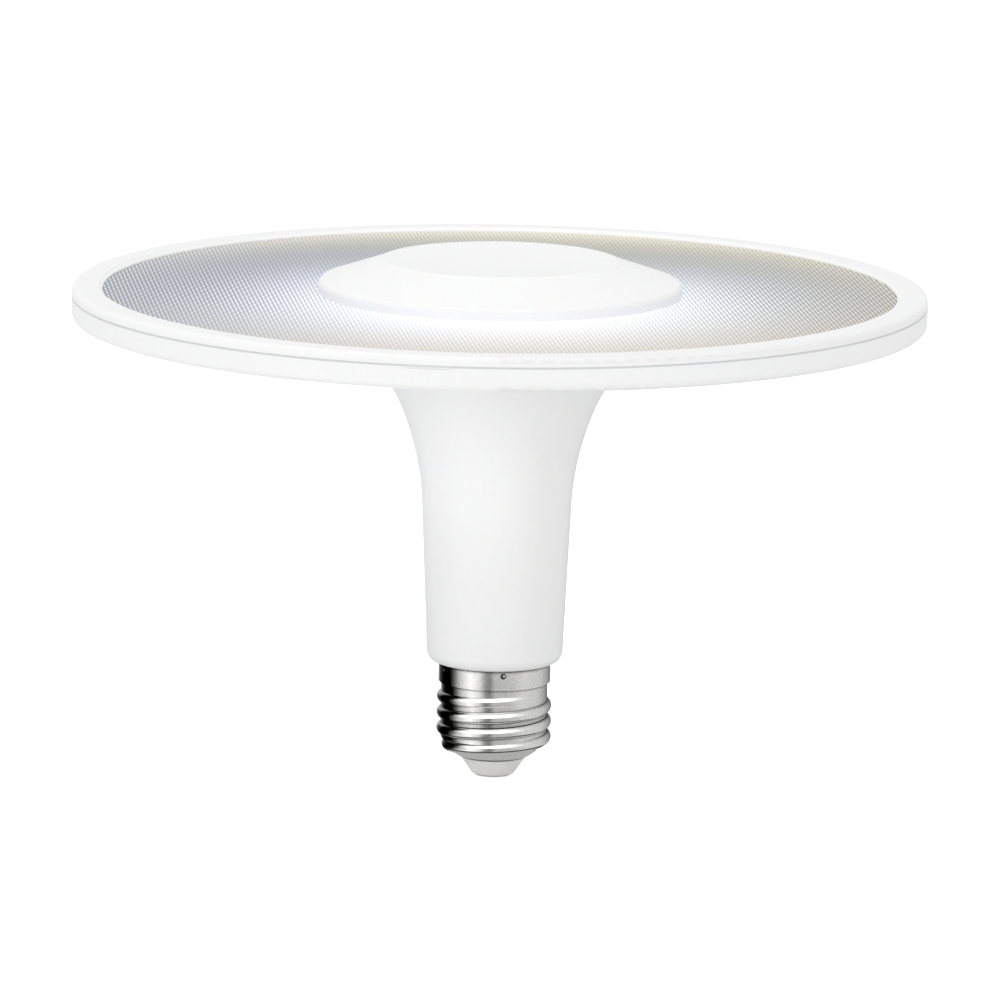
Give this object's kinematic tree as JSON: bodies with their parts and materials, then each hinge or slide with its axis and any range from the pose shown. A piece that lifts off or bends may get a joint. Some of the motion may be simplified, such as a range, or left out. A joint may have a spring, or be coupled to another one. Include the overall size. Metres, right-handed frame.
{
  "type": "led bulb",
  "caption": "Flat disc LED bulb: clear light guide plate in a white rim, dished centre cover, trumpet-shaped neck and E27 screw cap.",
  "frame": {"origin": "middle of the centre contact's face, on the lamp's axis, at the lowest point of the cap", "axes": "+Z runs along the lamp's axis from the screw cap to the disc; -Y faces the camera and +X is to its right"},
  "size_m": [0.1936, 0.1936, 0.119],
  "materials": {
    "white_neck": "fine satin moulded thermoplastic",
    "white_rim": "smooth moulded plastic",
    "white_cover": "smooth moulded plastic, slightly translucent",
    "light_guide": "clear acrylic with a fine lattice of light-turning dots",
    "cap_metal": "bright nickel-plated brass, rolled",
    "contact_metal": "nickel-plated rivet",
    "insulator_white": "matt white moulding",
    "aluminium": "plain drawn aluminium",
    "screw_steel": "zinc-plated",
    "strip_white": "white solder mask",
    "led_phosphor": "phosphor resin in a white case",
    "sleeve_plastic": "plain insulating tube",
    "board_green": "green solder mask",
    "case_black": "moulded epoxy",
    "case_red": "dipped epoxy",
    "can_dark": "shrink sleeve over an aluminium can",
    "resistor_grey": "flameproof coating",
    "ferrite": "sintered ferrite with a taped winding",
    "lead_red": "insulated wire",
    "lead_black": "insulated wire",
    "lead_white": "insulated wire"
  },
  "bodies": {
    "root": {"centre_contact": "contact_metal", "cap_insulator": "insulator_white", "screw_shell": "cap_metal", "trumpet_housing": "white_neck", "cooling_cup": "aluminium", "led_drum": "aluminium", "drum_screws": "screw_steel", "led_strip": "strip_white", "leds": "led_phosphor", "light_guide_plate": "light_guide", "lower_rim_ring": "white_rim", "upper_rim_ring": "white_rim", "centre_cover": "white_cover", "driver_sleeve": "sleeve_plastic", "driver_board": "board_green", "bridge_rectifier": "case_black", "driver_chip": "case_black", "film_capacitor": "case_red", "bulk_capacitor": "can_dark", "output_capacitor": "can_dark", "fusible_resistor": "resistor_grey", "transformer": "ferrite", "live_lead": "lead_black", "neutral_lead": "lead_white", "led_lead_front": "lead_red", "led_lead_back": "lead_black"}
  },
  "joints": []
}
